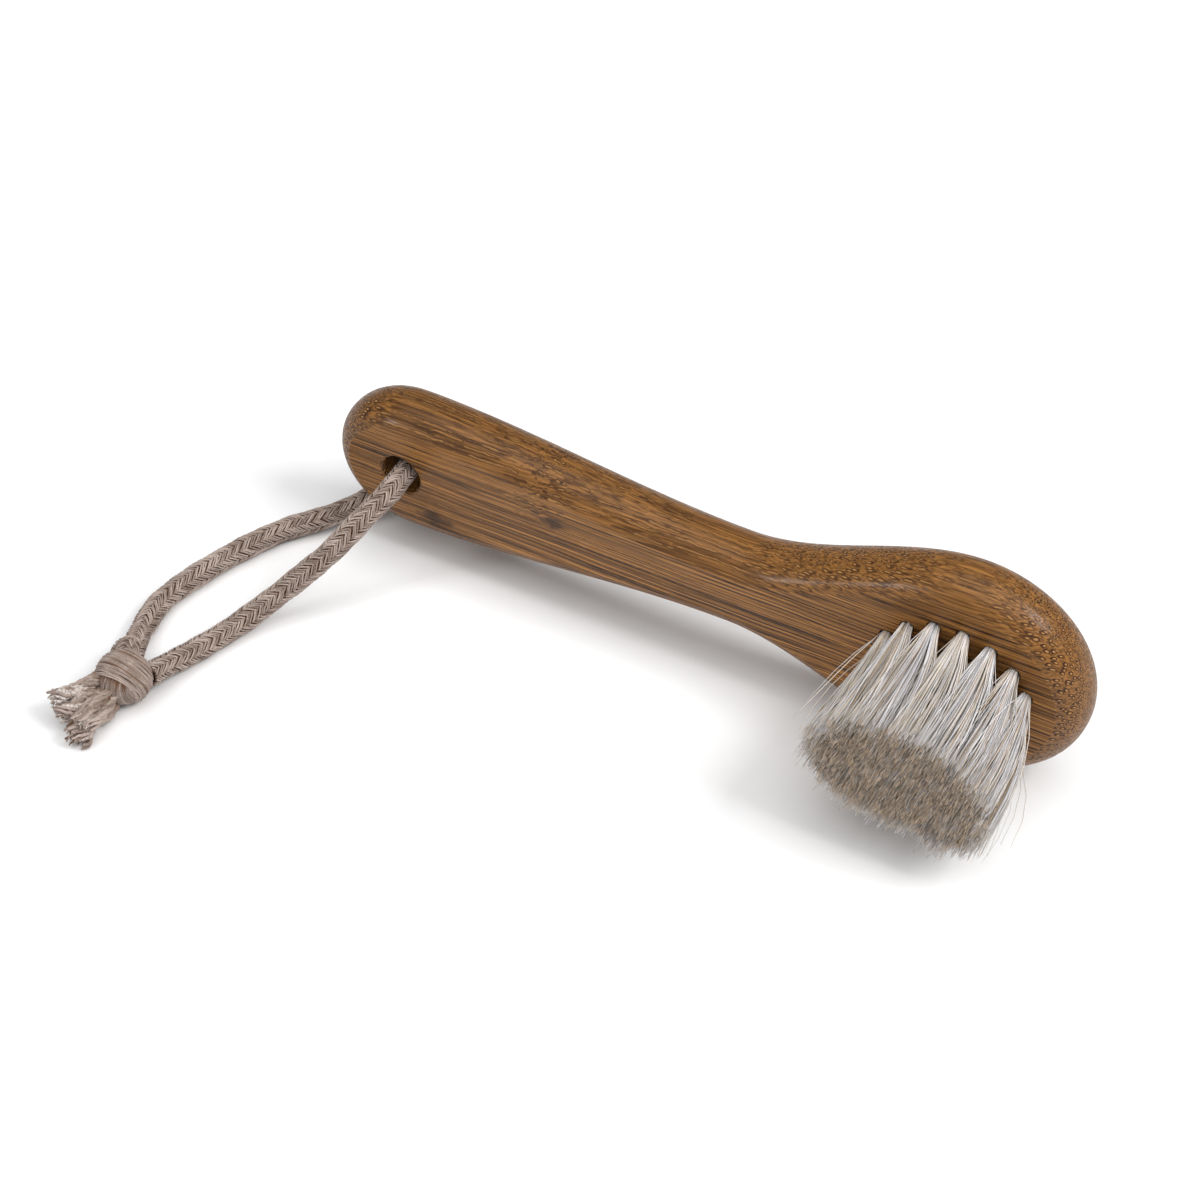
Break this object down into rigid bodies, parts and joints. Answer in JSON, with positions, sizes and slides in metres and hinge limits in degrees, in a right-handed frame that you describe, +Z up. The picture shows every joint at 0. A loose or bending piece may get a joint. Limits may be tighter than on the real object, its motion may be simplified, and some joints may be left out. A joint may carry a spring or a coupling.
{
  "type": "facial brush",
  "caption": "Hand-held facial brush: solid bamboo body with rounded edges, waisted handle, oval head with anchored hair tufts, and a knotted cotton hanging cord.",
  "frame": {"origin": "on the table, under the middle of the brush without its cord", "axes": "+X along the body from the handle end to the head, +Y out of the flat back, -Y the way the bristles point, +Z up"},
  "size_m": [0.1557, 0.0912, 0.0396],
  "materials": {
    "bamboo": "satin lacquered carbonised bamboo",
    "hair": "matt natural hair, white and tan mixed",
    "anchor_wire": "drawn flat wire",
    "cotton_cord": "matt braided natural cotton"
  },
  "bodies": {
    "root": {"bamboo_body": "bamboo", "outer_tuft_ring": "hair", "inner_tuft_ring": "hair", "centre_tufts": "hair", "tuft_anchor_01": "anchor_wire", "tuft_anchor_02": "anchor_wire", "tuft_anchor_03": "anchor_wire", "tuft_anchor_04": "anchor_wire", "tuft_anchor_05": "anchor_wire", "tuft_anchor_06": "anchor_wire", "tuft_anchor_07": "anchor_wire", "tuft_anchor_08": "anchor_wire", "tuft_anchor_09": "anchor_wire", "tuft_anchor_10": "anchor_wire", "tuft_anchor_11": "anchor_wire", "tuft_anchor_12": "anchor_wire", "tuft_anchor_13": "anchor_wire", "tuft_anchor_14": "anchor_wire", "tuft_anchor_15": "anchor_wire", "tuft_anchor_16": "anchor_wire", "tuft_anchor_17": "anchor_wire", "tuft_anchor_18": "anchor_wire", "tuft_anchor_19": "anchor_wire", "tuft_anchor_20": "anchor_wire", "tuft_anchor_21": "anchor_wire", "tuft_anchor_22": "anchor_wire", "tuft_anchor_23": "anchor_wire", "tuft_anchor_24": "anchor_wire", "tuft_anchor_25": "anchor_wire", "tuft_anchor_26": "anchor_wire", "cord_front_strand": "cotton_cord", "cord_back_strand": "cotton_cord", "cord_knot": "cotton_cord", "cord_tail_left": "cotton_cord", "cord_tail_right": "cotton_cord"}
  },
  "joints": []
}
